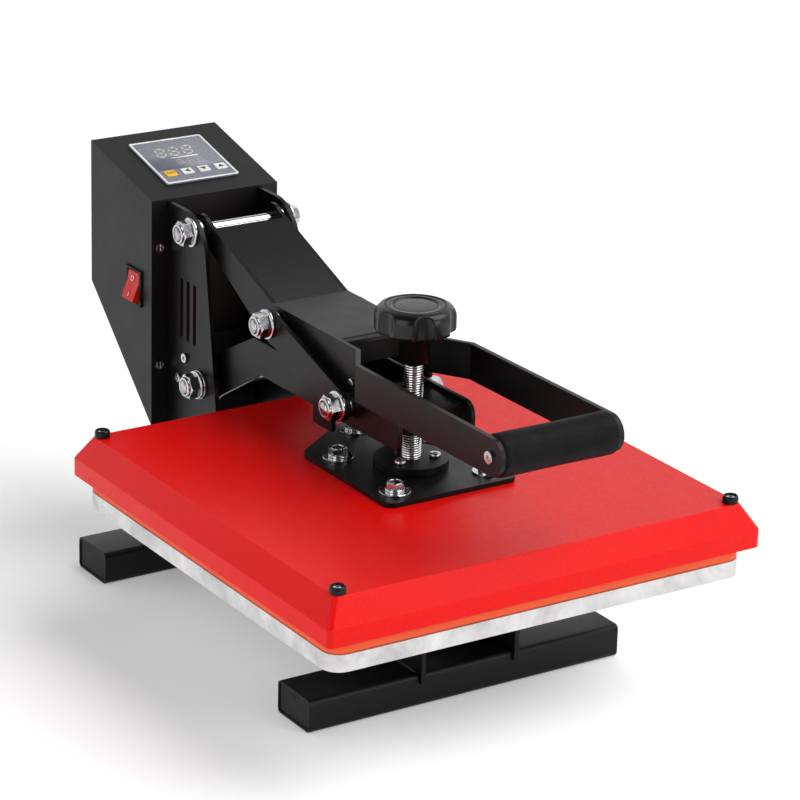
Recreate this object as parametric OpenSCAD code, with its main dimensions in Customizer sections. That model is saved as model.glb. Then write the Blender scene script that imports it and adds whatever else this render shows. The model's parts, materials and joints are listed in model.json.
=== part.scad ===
// Clamshell heat press: 380 x 380 mm platens, over-centre hand lever, digital controller.
// Millimetres. X to the operator's right, Y towards the rear, Z up, ground at z = 0.

/* [Platens] */
// Side of the square pressing area
platen_size = 380; // [300:10:420]
// Thickness of the cast lower platen
bed_thickness = 14; // [8:1:18]
// Thickness of the silicone pad
pad_thickness = 7.7; // [4:0.1:10]
// Thickness of the heated upper platen
heat_thickness = 15; // [8:1:15]
// How far the red cover overhangs the platen on each side
cover_overhang = 8; // [4:1:15]
// Sheet thickness of the cover and of the control box
sheet = 1.5; // [1:0.1:2]

/* [Frame] */
// Height of the foot tubes
foot_height = 27.7; // [20:0.1:40]
// Length of the foot tubes
foot_length = 292; // [200:2:360]
// Distance between the two side frames, inside faces
frame_gap = 84; // [84:0.5:90]
// Thickness of the side frame and link plates
plate = 4; // [3:0.5:4]

/* [Pivots] */
// Radius of the four pivot bolts
pin_r = 6; // [4:0.5:7]
// Radial clearance of a turning bore
running = 0.05; // [0.02:0.01:0.1]
// Gap between faces that turn past each other
face_gap = 0.3; // [0.3:0.1:0.5]

/* [Lever] */
// Radius of the foam grip
grip_r = 16.8; // [12:0.2:20]
// Half distance between the inner faces of the lever bars
bar_in = 51.5; // [50:0.5:54]
// Height of the lever bars
bar_height = 30; // [20:1:32]

/* [Pressure screw] */
// Outside radius of the knob
knob_r = 32.5; // [22:0.5:33]
// Number of finger notches round the knob
notches = 6; // [5:1:12]
// Radius of the screw rod
rod_r = 7.9; // [5:0.1:8]

/* [Control box] */
// Width of the control box
box_width = 123; // [110:1:150]
// Gap round each key in its opening
key_gap = 0.3; // [0.3:0.1:0.6]

/* [Hidden] */
platen_y = -109.1;
eps = 0.01;
// Pivot centres [y, z]: lever on frame, arm on frame, knee, link on arm
top_pivot = [273, 287];
arm_pivot = [256.5, 157];
knee = [147, 244.3];
link_pivot = [37, 209.5];
half = platen_size/2;
bed_top = 114;
bed_bottom = bed_top - bed_thickness;
pad_top = bed_top + pad_thickness;
heat_bottom = bed_top + 8;
heat_top = heat_bottom + heat_thickness;
cover_top = 160;
cover_half = half + cover_overhang;
frame_in = frame_gap/2;
frame_out = frame_in + plate;
arm_in = 32;
arm_out = 36;
link_in = 41.8;
link_out = link_in + plate;
bore_r = pin_r + running;
foot_depth = 47.4;
front_foot_y = -90;
rear_foot_y = 239.2;
slope = 13.54;
slope_at = [0, 368, 318.24];
box_half = box_width/2;
switch_at = [-box_half + 0.5, 342, 222];
web_front = 66;
grip_axis = [-188.5, 245];
// Control box outline: front and rear y, lower front corner, wall heights along the sloping faces
box_front = 313;
box_rear = 421;
box_low = 103;
box_rear_low = 204;
box_high = 305;
box_rear_high = 331;
box_depth = box_rear - box_front;
low_slope = (box_rear_low - box_low)/box_depth;
high_slope = (box_rear_high - box_high)/box_depth;
low_wall = sheet*sqrt(1 + low_slope*low_slope);
high_wall = sheet*sqrt(1 + high_slope*high_slope);
panel_low = box_low + low_slope*sheet + low_wall + 0.05;
panel_high = box_high - high_wall - 0.05;
bed_bolt_x = [-105, 105];
panel_screw_x = [-54, 54];
panel_screw_z = [263.4, 158.2];
mount_bolt_x = [-25, 25];
mount_bolt_z = 161;
relay_screw_x = [-16, 16];
relay_screw_z = 199;
inlet_screw_x = [-26, 26];
inlet_z = 240;
// Holes and fixings of the head
corner_at = half - 10;
post_at = 95;
flange_ring = 19;
small_screw_r = 2.5;
m8_r = 4;
// Pivot hardware: lock nut across flats, washer radius and thickness
nut_flats = 19;
washer_r = 12.5;
washer_t = 2.5;

module from_platen() translate([0, platen_y, 0]) children();
module yz_plate(x0, t) translate([x0, 0, 0]) rotate([90, 0, 90]) linear_extrude(t) children();
module x_rod(p, x0, x1, r) translate([x0, p[0], p[1]]) rotate([0, 90, 0]) cylinder(h=x1 - x0, r=r, $fn=64);
module y_rod(x, z, y0, y1, r) translate([x, y0, z]) rotate([-90, 0, 0]) cylinder(h=y1 - y0, r=r, $fn=48);
module x_ring(p, x0, x1, r, hole) {
    difference() {
        x_rod(p, x0, x1, r);
        x_rod(p, x0 - 1, x1 + 1, hole);
    }
}
module x_hex(p, x0, x1, flats) {
    translate([x0, p[0], p[1]]) rotate([0, 90, 0]) cylinder(h=x1 - x0, r=flats/sqrt(3), $fn=6);
}
module both_sides() {
    children();
    mirror([1, 0, 0]) children();
}
module four_corners(d) for (x = [-d, d], y = [-d, d]) translate([x, y, 0]) children();
module square_plate(h, z0, side, r) {
    s = side/2;
    translate([0, 0, z0]) linear_extrude(h)
        polygon(rounded([[-s, -s, r], [s, -s, r], [s, s, r], [-s, s, r]]));
}

function corner_arc(p0, p1, p2, r, n) =
    let(a = (p0 - p1)/norm(p0 - p1), b = (p2 - p1)/norm(p2 - p1),
        h = acos(a*b)/2, d = r/tan(h),
        c = p1 + (a + b)/norm(a + b)*r/sin(h), s = p1 + a*d, e = p1 + b*d,
        a0 = atan2(s.y - c.y, s.x - c.x), a1 = atan2(e.y - c.y, e.x - c.x),
        da = ((a1 - a0 + 540)%360) - 180)
    [for (i = [0:n]) c + r*[cos(a0 + da*i/n), sin(a0 + da*i/n)]];
// Polygon points given as [a, b, corner radius]
function rounded(pts, n=6) =
    [for (i = [0:len(pts) - 1])
        let(p0 = pts[(i + len(pts) - 1)%len(pts)], p1 = pts[i], p2 = pts[(i + 1)%len(pts)])
        each (p1[2] == 0 ? [[p1.x, p1.y]]
            : corner_arc([p0.x, p0.y], [p1.x, p1.y], [p2.x, p2.y], p1[2], n))];

// ---------------------------------------------------------------- base frame

module foot_tube(y0) {
    difference() {
        translate([-foot_length/2, y0, 0]) rotate([90, 0, 90]) linear_extrude(foot_length)
            polygon(rounded([[0, 0, 4], [foot_depth, 0, 4], [foot_depth, foot_height, 4],
                [0, foot_height, 4]]));
        translate([-foot_length/2 - 1, y0, 0]) rotate([90, 0, 90]) linear_extrude(foot_length + 2)
            polygon(rounded([[2, 2, 2], [foot_depth - 2, 2, 2], [foot_depth - 2, foot_height - 2, 2],
                [2, foot_height - 2, 2]]));
    }
}

module front_foot() color([0.03, 0.03, 0.03]) from_platen() foot_tube(front_foot_y);
module rear_foot() color([0.03, 0.03, 0.03]) from_platen() foot_tube(rear_foot_y);

module foot_plugs() color([0.02, 0.02, 0.02]) from_platen()
    for (y0 = [front_foot_y, rear_foot_y], side = [0, 1])
        mirror([side, 0, 0]) translate([foot_length/2 - 5, y0, 0]) rotate([90, 0, 90]) linear_extrude(4)
            polygon(rounded([[2, 2, 2], [foot_depth - 2, 2, 2], [foot_depth - 2, foot_height - 2, 2],
                [2, foot_height - 2, 2]]));

// Plain upright slots through the side plates
slot_y = [264, 275, 286];
slot_width = 5;
slot_low = 188;
slot_high = 242;

frame_screw_at = [[281, 173], [291.8, 152]];

module side_plate(x0) {
    difference() {
        yz_plate(x0, plate) difference() {
            polygon(concat(
                [[-93, 20], [-90.3, 20], [-90.3, foot_height], [rear_foot_y + foot_depth, foot_height], [287, 60],
                    [312.8, 110], [312.8, 303]],
                [for (i = [0:16]) [286, 265] + 38*[cos(90 + i*90/16), sin(90 + i*90/16)]],
                [[229.5, 142], [222, 104]],
                corner_arc([222, 104], [205, 90], [100, 90], 12, 5),
                [[-88, 90], [-93, 85]]));
            for (y = slot_y) polygon(rounded([[y, slot_low, 2.4], [y + slot_width, slot_low, 2.4],
                [y + slot_width, slot_high, 2.4], [y, slot_high, 2.4]]));
        }
        for (p = [top_pivot, arm_pivot]) x_rod(p, x0 - 1, x0 + plate + 1, pin_r);
        for (p = frame_screw_at) x_rod(p, x0 - 1, x0 + plate + 1, 2.5);
    }
}

module left_side_frame() color([0.04, 0.04, 0.04]) from_platen() side_plate(-frame_out);
module right_side_frame() color([0.04, 0.04, 0.04]) from_platen() side_plate(frame_in);

bar_y = [-80, 110];

module platen_crossbars() color([0.04, 0.04, 0.04]) from_platen() for (y = bar_y) {
    difference() {
        translate([-120, y - 12.5, 90]) cube([240, 25, bed_bottom - 90]);
        for (x = bed_bolt_x) translate([x, y, 80]) cylinder(h=30, r=4, $fn=48);
    }
}

module frame_tie_bracket() color([0.04, 0.04, 0.04]) from_platen() {
    difference() {
        union() {
            translate([-frame_in, 301, 140]) cube([frame_gap, 3, 42]);
            both_sides() translate([frame_in - 3, 273, 140]) cube([3, 29, 42]);
        }
        for (p = frame_screw_at) x_rod(p, -frame_in - 1, frame_in + 1, 2.5);
        for (x = mount_bolt_x) y_rod(x, mount_bolt_z, 290, 310, 3);
    }
}

module frame_screws() color([0.8, 0.8, 0.82]) from_platen() both_sides()
    for (p = frame_screw_at) {
        difference() {
            union() {
                x_rod(p, frame_in - 6.5, frame_out, 2.5);
                x_rod(p, frame_out, frame_out + 2.4, 4.1);
            }
            x_hex(p, frame_out + 1, frame_out + 3, 3);
        }
        difference() {
            x_hex(p, frame_in - 6, frame_in - 3, 7.4);
            x_rod(p, frame_in - 7, frame_in - 2, 2.5);
        }
    }

module lower_platen() color([0.55, 0.55, 0.56]) from_platen() {
    difference() {
        square_plate(bed_thickness, bed_bottom, platen_size, 15);
        for (x = bed_bolt_x, y = bar_y) translate([x, y, bed_bottom - 1]) cylinder(h=9, r=4, $fn=48);
    }
}

module platen_bolts() color([0.8, 0.8, 0.82]) from_platen() for (x = bed_bolt_x, y = bar_y) {
    translate([x, y, 88.4]) cylinder(h=bed_bottom + 7.9 - 88.4, r=4, $fn=48);
    translate([x, y, 83.1]) cylinder(h=5.3, r=13/sqrt(3), $fn=6);
    difference() {
        translate([x, y, 88.4]) cylinder(h=1.6, r=9, $fn=48);
        translate([x, y, 88]) cylinder(h=3, r=4, $fn=48);
    }
}

module silicone_pad() color([0.85, 0.2, 0.08]) from_platen()
    square_plate(pad_thickness, bed_top, platen_size - 1, 14);

// ---------------------------------------------------------------- pivots on the frame

module nut_stack(p, x0) {
    // Lock nut and its collar towards -X, starting at |x| = x0
    difference() {
        union() {
            x_hex(p, -x0 - 9, -x0, nut_flats);
            x_rod(p, -x0 - 11, -x0 - 9, 7.6);
        }
        x_rod(p, -x0 - 12, -x0 + 1, pin_r);
    }
}

module washers(p, x0, t) both_sides() x_ring(p, x0, x0 + t, washer_r, pin_r);

head_flats = 16;

module through_bolt(p, seat) {
    // Rod from the nut side to a hex head on +X
    x_rod(p, -seat - 11.6, seat, pin_r);
    x_hex(p, seat, seat + 7.5, head_flats);
}

module top_pivot_bolt() color([0.8, 0.8, 0.82]) from_platen() through_bolt(top_pivot, frame_out + washer_t);
module arm_pivot_bolt() color([0.8, 0.8, 0.82]) from_platen() through_bolt(arm_pivot, frame_out + 2*washer_t);

module pivot_nuts() color([0.8, 0.8, 0.82]) from_platen() {
    nut_stack(top_pivot, frame_out + washer_t);
    nut_stack(arm_pivot, frame_out + 2*washer_t);
    washers(top_pivot, frame_out, washer_t);
    washers(arm_pivot, frame_out, washer_t);
    washers(arm_pivot, frame_out + washer_t, washer_t);
    both_sides() {
        x_ring(top_pivot, arm_out + face_gap, frame_in, 10, pin_r);
        x_ring(arm_pivot, arm_out + face_gap, frame_in, 10, pin_r);
    }
}

// ---------------------------------------------------------------- control box

module on_slope() translate(slope_at) rotate([slope, 0, 0]) children();

module box_shell() color([0.06, 0.06, 0.065]) from_platen() {
    difference() {
        yz_plate(-box_half, box_width) polygon([[box_front, box_low], [box_front, box_high],
            [box_rear, box_rear_high], [box_rear, box_rear_low]]);
        yz_plate(-box_half + sheet, box_width - 2*sheet)
            polygon([[box_front - 1, box_low - low_slope + low_wall],
                [box_front - 1, box_high - high_slope - high_wall],
                [box_rear - sheet, box_rear_high - high_slope*sheet - high_wall],
                [box_rear - sheet, box_rear_low - low_slope*sheet + low_wall]]);
        // display and key opening
        on_slope() translate([-32, -31, -8]) cube([64, 62, 16]);
        // switch
        translate([-box_half - 1, 330.5, 207]) cube([4, 23, 30]);
        // inlet
        translate([-23, 416, 227]) cube([46, 10, 26]);
    }
    // tabs inside that the front panel screws bite into
    for (side = [0, 1], z = panel_screw_z) mirror([side, 0, 0]) difference() {
        union() {
            translate([47, 313 + sheet, z - 8]) cube([box_half - sheet - 46, 2.5, 16]);
            translate([box_half - sheet - 2, 313 + sheet, z - 8]) cube([2.5, 14, 16]);
        }
        y_rod(54, z, 310, 322, 2);
    }
}

module box_front_panel() color([0.06, 0.06, 0.065]) from_platen() {
    difference() {
        translate([-box_half + sheet, box_front, panel_low])
            cube([box_width - 2*sheet, sheet, panel_high - panel_low]);
        for (x = panel_screw_x, z = panel_screw_z) y_rod(x, z, 310, 318, 2);
        for (x = mount_bolt_x) y_rod(x, mount_bolt_z, 310, 318, 3);
        for (x = relay_screw_x) y_rod(x, relay_screw_z, 310, 318, 2);
    }
}

module box_screws() color([0.8, 0.8, 0.82]) from_platen() {
    for (x = panel_screw_x, z = panel_screw_z) {
        difference() {
            union() {
                y_rod(x, z, 313 - eps, 322, 2);
                y_rod(x, z, 311, 313, 4);
            }
            translate([x - 3, 310.5, z - 0.5]) cube([6, 1.3, 1]);
            translate([x - 0.5, 310.5, z - 3]) cube([1, 1.3, 6]);
        }
    }
    for (x = relay_screw_x) {
        y_rod(x, relay_screw_z, 313, 318.5 + eps, 2);
        y_rod(x, relay_screw_z, 318.5, 321, 3.8);
    }
    for (x = inlet_screw_x) y_rod(x, inlet_z, 421, 423.5, 1.6);
}

module box_mount_bolts() color([0.7, 0.7, 0.72]) from_platen() for (x = mount_bolt_x) {
    y_rod(x, mount_bolt_z, 295, 320.5, 3);
    for (y = [301, 319.5]) difference() {
        translate([x, y, mount_bolt_z]) rotate([90, 0, 0]) cylinder(h=5, r=10/sqrt(3), $fn=6);
        y_rod(x, mount_bolt_z, y - 6, y + 1, 3);
    }
    difference() {
        y_rod(x, mount_bolt_z, 304, 313, 6);
        y_rod(x, mount_bolt_z, 303, 314, 3);
    }
}

key_x = [-23.8, -7.4, 8.6, 25.2];
key_y = -20.5;
key_w = 10.5;
key_d = 9;

module display_panel() color([0.42, 0.47, 0.55]) from_platen() on_slope() {
    difference() {
        linear_extrude(1.5) polygon(rounded([[-35.5, -36.2, 2], [35.5, -36.2, 2], [35.5, 36.2, 2],
            [-35.5, 36.2, 2]], 4));
        for (x = key_x) translate([x - key_w/2 - key_gap, key_y - key_d/2 - key_gap, -1])
            cube([key_w + 2*key_gap, key_d + 2*key_gap, 4]);
        translate([-26, -12, -1]) cube([52, 42, 4]);
    }
}

module display_window() color([0.03, 0.03, 0.04]) from_platen() on_slope()
    translate([-26, -12, 0]) cube([52, 42, 1.3]);

module key(i) on_slope() translate([key_x[i] - key_w/2, key_y - key_d/2, -1.8]) cube([key_w, key_d, 4.2]);

module set_key() color([0.9, 0.75, 0.1]) from_platen() key(0);
module left_key() color([0.85, 0.85, 0.85]) from_platen() key(1);
module down_key() color([0.85, 0.85, 0.85]) from_platen() key(2);
module up_key() color([0.85, 0.85, 0.85]) from_platen() key(3);

module controller_board() color([0.05, 0.3, 0.12]) from_platen() on_slope() {
    translate([-40, -38, -8.1]) cube([80, 76, 1.6]);
    for (x = key_x) translate([x - 3, key_y - 3, -6.5 - eps]) cube([6, 6, 3.4]);
    translate([-22, 6, -6.5 - eps]) cube([44, 20, 6]);
    translate([-2, -9, -6.5 - eps]) cube([24, 12, 6]);
    for (x = [-36.5, 36.5], y = [-34.5, 34.5]) translate([x, y, -6.5 - eps]) cylinder(h=5, r=3, $fn=32);
}

module solid_state_relay() color([0.75, 0.75, 0.72]) from_platen() {
    difference() {
        union() {
            translate([-22.5, 314.5, 190]) cube([45, 4, 58]);
            translate([-22.5, 318.5 - eps, 201 + 5]) cube([45, 19, 32]);
        }
        for (x = relay_screw_x) y_rod(x, relay_screw_z, 313, 320, 2);
    }
}

module switch_housing() color([0.03, 0.03, 0.03]) from_platen() {
    difference() {
        union() {
            translate([-box_half - 2, 329, 206]) cube([2, 26, 32]);
            translate([-box_half - eps, 330.5, 207]) cube([22, 23, 30]);
            for (z = [213, 222, 231]) translate([-box_half + 21.9, 339, z - 1]) cube([8, 6, 0.8]);
        }
        translate([-box_half - 3, 332, 208]) cube([12, 20, 28]);
        y_rod(switch_at.x, switch_at.z, 330.4, 353.6, 1.5 + running);
    }
}

module switch_rocker() color([0.75, 0.03, 0.03]) from_platen() {
    translate([switch_at.x, 351.5, switch_at.z]) rotate([90, 0, 0]) linear_extrude(19)
        polygon([[-1.5, 12.6], [-2.6, 4], [-8.5, -11], [-7.6, -11.8], [1.2, -12.3], [3.2, -7], [3.2, 7],
            [1.5, 12.6]]);
    y_rod(switch_at.x, switch_at.z, 330.8, 353.2, 1.5);
}

module power_inlet() color([0.02, 0.02, 0.02]) from_platen() {
    difference() {
        union() {
            translate([-29, 421, 225]) cube([58, 2.5, 30]);
            translate([-23, 398, 227]) cube([46, 23 + eps, 26]);
        }
        translate([-13.5, 407, 231.5]) cube([27, 20, 17]);
        for (x = inlet_screw_x) y_rod(x, inlet_z, 420, 425, 1.6);
    }
    for (x = [-7, 0, 7]) translate([x - 2, 400, 239 + (x == 0 ? 3 : -2)]) cube([4, 20, 1.6]);
}

// ---------------------------------------------------------------- lever

bar_low = 227.5;
cheek_screw = [33, 228.3];
cheek_front = 27;
bar_high = bar_low + bar_height;

module handle_channel() color([0.04, 0.04, 0.04]) from_platen() {
    both_sides() {
        difference() {
            union() {
                yz_plate(arm_in + 0.5, arm_out - arm_in - 0.5) polygon(rounded([[cheek_front, bar_high, 0],
                    [156, bar_high, 6], [258, 295, 4], [266, 298.5, 3], [273, 300, 0], [284, 290, 0],
                    [264, 277, 0], [193, 238.4, 8], [160, 221.3, 14], [cheek_front, 221.3, 3]]));
                x_rod(top_pivot, arm_in + 0.5, arm_out, 14);
            }
            x_rod(top_pivot, arm_in, arm_out + 1, bore_r);
            x_rod(knee, arm_in, arm_out + 1, pin_r);
            x_rod(cheek_screw, arm_in, arm_out + 1, 2.5);
        }
        // outward joggle to the bar
        translate([0, 0, bar_low]) linear_extrude(bar_height)
            polygon([[arm_in + 0.5, cheek_front + 2], [arm_in + 0.5, cheek_front], [bar_in, -3], [bar_in, -5],
                [bar_in + plate, -5], [bar_in + plate, -2], [arm_out, cheek_front + 2]]);
    }
    // front web, bend and rear web
    yz_plate(-arm_in - 1, 2*arm_in + 2) polygon([[web_front, bar_high - 3.5], [157.2, bar_high - 3.5],
        [255.2, 290.24],
        [254, 293.53], [156, bar_high], [web_front, bar_high]]);
}

module lever_bar() {
    difference() {
        union() {
            yz_plate(bar_in, plate) polygon([[-5, bar_low], [-5, bar_high], [-187.3, 260], [-189.7, 230]]);
            x_rod(grip_axis, bar_in, bar_in + plate, bar_height/2);
        }
        x_rod(grip_axis, bar_in - 1, bar_in + plate + 1, 4);
    }
}

module left_handle_bar() color([0.04, 0.04, 0.04]) from_platen() mirror([1, 0, 0]) lever_bar();
module right_handle_bar() color([0.04, 0.04, 0.04]) from_platen() lever_bar();

module handle_grip() color([0.05, 0.05, 0.05]) from_platen() x_ring(grip_axis, -bar_in, bar_in, grip_r, 11);
module grip_tube() color([0.6, 0.6, 0.62]) from_platen() x_ring(grip_axis, -bar_in, bar_in, 11, 4);

module grip_screws() color([0.8, 0.8, 0.82]) from_platen() both_sides() {
    difference() {
        union() {
            x_rod(grip_axis, bar_in - 20, bar_in + plate + 1, 4);
            x_rod(grip_axis, bar_in + plate, bar_in + plate + 2.4, 5);
        }
        x_hex(grip_axis, bar_in + plate + 0.8, bar_in + plate + 3, 3);
    }
    // small screws at the front of the lever cheeks
    x_rod(cheek_screw, arm_in + 0.5, arm_out + 1, 2.5);
    x_rod(cheek_screw, arm_out, arm_out + 2, 3.6);
}

// Knee bolt in the lever: collar on the link side, washer and head on the other
module knee_rod() color([0.8, 0.8, 0.82]) from_platen() {
    x_rod(knee, -link_in + face_gap + 0.1, arm_out + 2.5, pin_r);
    x_rod(knee, -link_in + face_gap + 0.1, -arm_out, 10);
    x_rod(knee, arm_out, arm_out + 2.5, 10.5);
    x_hex(knee, arm_out + 2.5, arm_out + 10, head_flats);
}

// ---------------------------------------------------------------- outer link

module link_plate(x0) {
    d = link_pivot - knee;
    n = [-d.y, d.x]/norm(d)*13;
    difference() {
        union() {
            yz_plate(x0, plate) polygon([knee + n, knee - n, link_pivot - n, link_pivot + n]);
            x_rod(knee, x0, x0 + plate, 13);
            x_rod(link_pivot, x0, x0 + plate, 13);
        }
        x_rod(knee, x0 - 1, x0 + plate + 1, pin_r);
        x_rod(link_pivot, x0 - 1, x0 + plate + 1, bore_r);
    }
}

module left_link() color([0.04, 0.04, 0.04]) from_platen() link_plate(-link_out);

module knee_bolt_end() color([0.8, 0.8, 0.82]) from_platen() {
    x_rod(knee, -link_out - 14.1, -link_in, pin_r);
    nut_stack(knee, link_out + washer_t);
    x_ring(knee, -link_out - washer_t, -link_out, washer_r, pin_r);
}

// ---------------------------------------------------------------- arm

module arm_plate(x0) {
    difference() {
        union() {
            yz_plate(x0, arm_out - arm_in) polygon(rounded([[252, 172, 0], [247, 186, 8], [186, 219, 14],
                [40, 220, 0], [-36.5, 221.5, 12], [-35, 193, 3], [62, 190, 0], [62, 176.5, 2], [91.5, 176.5, 2],
                [91.5, 190.5, 0], [174, 189.5, 10], [237.5, 151.5, 0], [247.5, 144.5, 0]]));
            x_rod(arm_pivot, x0, x0 + arm_out - arm_in, 16);
        }
        x_rod(arm_pivot, x0 - 1, x0 + 5, bore_r);
        x_rod(link_pivot, x0 - 1, x0 + 5, pin_r);
    }
}

module left_arm_plate() color([0.04, 0.04, 0.04]) from_platen() arm_plate(-arm_out);
module right_arm_plate() color([0.04, 0.04, 0.04]) from_platen() arm_plate(arm_in);

web_low = 214;

module arm_webs() color([0.04, 0.04, 0.04]) from_platen() {
    difference() {
        translate([-arm_in, -22, web_low]) cube([2*arm_in, 53, 3.5]);
        translate([0, 0, 200]) cylinder(h=20, r=rod_r + 1.1, $fn=48);
    }
    translate([-arm_in, 60, 209]) cube([2*arm_in, 110, 3]);
}

module screw_nut() color([0.04, 0.04, 0.04]) from_platen() {
    difference() {
        union() {
            translate([0, 0, 193]) cylinder(h=web_low - 193, r=13, $fn=64);
            translate([0, 0, web_low - 4]) cylinder(h=4, r=20, $fn=64);
        }
        translate([0, 0, 192]) cylinder(h=web_low - 190, r=rod_r + running, $fn=64);
    }
}

module link_bolt() color([0.8, 0.8, 0.82]) from_platen() {
    x_rod(link_pivot, -link_out - face_gap - 14.1, link_in - face_gap, pin_r);
    x_hex(link_pivot, link_in - face_gap, link_in - face_gap + 7.5, head_flats);
}

module link_nuts() color([0.8, 0.8, 0.82]) from_platen() {
    nut_stack(link_pivot, link_out + face_gap + washer_t);
    x_ring(link_pivot, -link_out - face_gap - washer_t, -link_out - face_gap, washer_r, pin_r);
    both_sides() x_ring(link_pivot, arm_out, link_in - face_gap, 10, pin_r);
}

// ---------------------------------------------------------------- heated head

flange_screw_a = [90, 210, 330];
plate_bolt_at = [[-43.5, -44], [43.5, -44], [-43.5, 40], [43.5, 40], [0, 86]];

module mounting_plate() color([0.04, 0.04, 0.04]) from_platen() {
    difference() {
        translate([0, 0, cover_top]) linear_extrude(4.2)
            polygon(rounded([[-62, -64, 8], [60, -64, 8], [60, 64, 14], [0, 108, 14], [-62, 64, 14]]));
        for (p = plate_bolt_at) translate([p.x, p.y, 150]) cylinder(h=20, r=m8_r, $fn=48);
        for (a = flange_screw_a) rotate(a)
            translate([flange_ring, 0, 150]) cylinder(h=20, r=small_screw_r, $fn=32);
    }
}

module plate_bolts() color([0.8, 0.8, 0.82]) from_platen() for (p = plate_bolt_at) translate([p.x, p.y, 0]) {
    translate([0, 0, cover_top - 6.5]) cylinder(h=14.5, r=4, $fn=48);
    translate([0, 0, cover_top + 8]) cylinder(h=5.3, r=13/sqrt(3), $fn=6);
    difference() {
        union() {
            translate([0, 0, cover_top + 4.2]) cylinder(h=1.6, r=12.5, $fn=64);
            translate([0, 0, cover_top + 5.8]) cylinder(h=2.2, r=7.8, $fn=48);
        }
        translate([0, 0, cover_top + 4]) cylinder(h=5, r=4, $fn=48);
    }
}

module thrust_flange() color([0.04, 0.04, 0.04]) from_platen() {
    difference() {
        translate([0, 0, cover_top + 4.2]) cylinder(h=6.8, r=30, $fn=96);
        translate([0, 0, cover_top + 4]) cylinder(h=4.1, r=11.4, $fn=64);
        translate([0, 0, cover_top + 4]) cylinder(h=10, r=rod_r + running, $fn=64);
        for (a = flange_screw_a) rotate(a)
            translate([flange_ring, 0, cover_top]) cylinder(h=20, r=small_screw_r, $fn=32);
    }
}

module flange_screws() color([0.85, 0.85, 0.87]) from_platen()
    for (a = flange_screw_a) rotate(a) translate([flange_ring, 0, 0]) {
    difference() {
        union() {
            translate([0, 0, cover_top]) cylinder(h=11.01, r=2.5, $fn=32);
            translate([0, 0, cover_top + 11]) cylinder(h=3, r=4.6, $fn=48);
        }
        translate([0, 0, cover_top + 12.4]) cylinder(h=3, r=4/sqrt(3), $fn=6);
    }
}

module cover_solid(inset, floor_z, top_z) {
    hull() {
        translate([0, 0, floor_z]) linear_extrude(140 - floor_z - inset*0.3)
            offset(r=6, $fn=32) square(2*(cover_half - inset - 6), center=true);
        translate([0, 0, top_z - 0.2]) linear_extrude(0.2)
            offset(r=5, $fn=32) square(2*(cover_half - 12 - inset*0.8 - 5), center=true);
    }
}

module platen_cover() color([0.7, 0.03, 0.03]) from_platen() {
    difference() {
        cover_solid(0, 125, cover_top);
        cover_solid(sheet, 120, cover_top - sheet);
        four_corners(corner_at) translate([0, 0, 150]) cylinder(h=20, r=small_screw_r, $fn=32);
        for (p = plate_bolt_at) translate([p.x, p.y, 150]) cylinder(h=20, r=m8_r, $fn=48);
    }
}

module cover_cups() color([0.02, 0.02, 0.02]) from_platen() four_corners(corner_at) {
    difference() {
        translate([0, 0, cover_top]) cylinder(h=6, r=6.3, $fn=48);
        translate([0, 0, cover_top + 1.5]) cylinder(h=6, r=4.8, $fn=48);
        translate([0, 0, cover_top - 1]) cylinder(h=6, r=2.5, $fn=32);
    }
}

module cover_screws() color([0.8, 0.8, 0.82]) from_platen() four_corners(corner_at) {
    translate([0, 0, heat_top - 8]) cylinder(h=cover_top + 1.6 - heat_top + 8, r=2.5, $fn=32);
    difference() {
        translate([0, 0, cover_top + 1.5]) cylinder(h=2.6, r=4.5, $fn=32);
        translate([0, 0, cover_top + 2.8]) cylinder(h=2, r=3/sqrt(3), $fn=6);
    }
}

module bridge_plate() color([0.5, 0.5, 0.5]) from_platen() {
    difference() {
        union() {
            square_plate(5, cover_top - sheet - 5, 220, 8);
            four_corners(post_at) translate([0, 0, heat_top])
                cylinder(h=cover_top - sheet - 5 - heat_top + eps, r=9, $fn=48);
        }
        for (p = plate_bolt_at) translate([p.x, p.y, 150]) cylinder(h=20, r=m8_r, $fn=48);
    }
}

module insulation_pad() color([0.9, 0.88, 0.8]) from_platen() {
    difference() {
        square_plate(7, heat_top + 8.3, 350, 10);
        four_corners(post_at) translate([0, 0, 140]) cylinder(h=20, r=9.5, $fn=48);
    }
}

module heat_platen() color([0.6, 0.6, 0.6]) from_platen() {
    difference() {
        square_plate(heat_thickness, heat_bottom, platen_size, 12);
        four_corners(corner_at) translate([0, 0, heat_top - 8]) cylinder(h=20, r=small_screw_r, $fn=32);
    }
}

module heating_element() color([0.5, 0.45, 0.4]) from_platen() {
    for (s = [150, 75]) difference() {
        square_plate(8, heat_top, 2*s, 30);
        square_plate(10, heat_top - 1, 2*s - 18, 21);
    }
    translate([-6, 65, heat_top]) cube([12, 78, 8]);
}

module temperature_probe() color([0.85, 0.85, 0.85]) from_platen()
    translate([30, -40, heat_top + 3]) rotate([0, 90, 0]) cylinder(h=28, r=3, $fn=32);

// ---------------------------------------------------------------- pressure screw

module pressure_screw() color([0.75, 0.75, 0.77]) from_platen() {
    translate([0, 0, cover_top + 4.5]) cylinder(h=86.5, r=rod_r, $fn=64);
    translate([0, 0, cover_top + 4.5]) cylinder(h=3.3, r=11, $fn=64);
}

module pressure_knob() color([0.02, 0.02, 0.02]) from_platen() {
    difference() {
        rotate_extrude($fn=96) polygon([[0, 251], [12.2, 251], [12.2, 272], [15, 277], [knob_r - 2, 277],
            [knob_r, 279],
            [knob_r, 291], [knob_r - 1.5, 295], [knob_r - 5.5, 298], [24.3, 298], [23.3, 297], [0, 297]]);
        for (i = [0:notches - 1]) rotate(9.9 + i*360/notches) translate([knob_r + 9.3, 0, 276])
            cylinder(h=23, r=13.3, $fn=64);
    }
}

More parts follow.
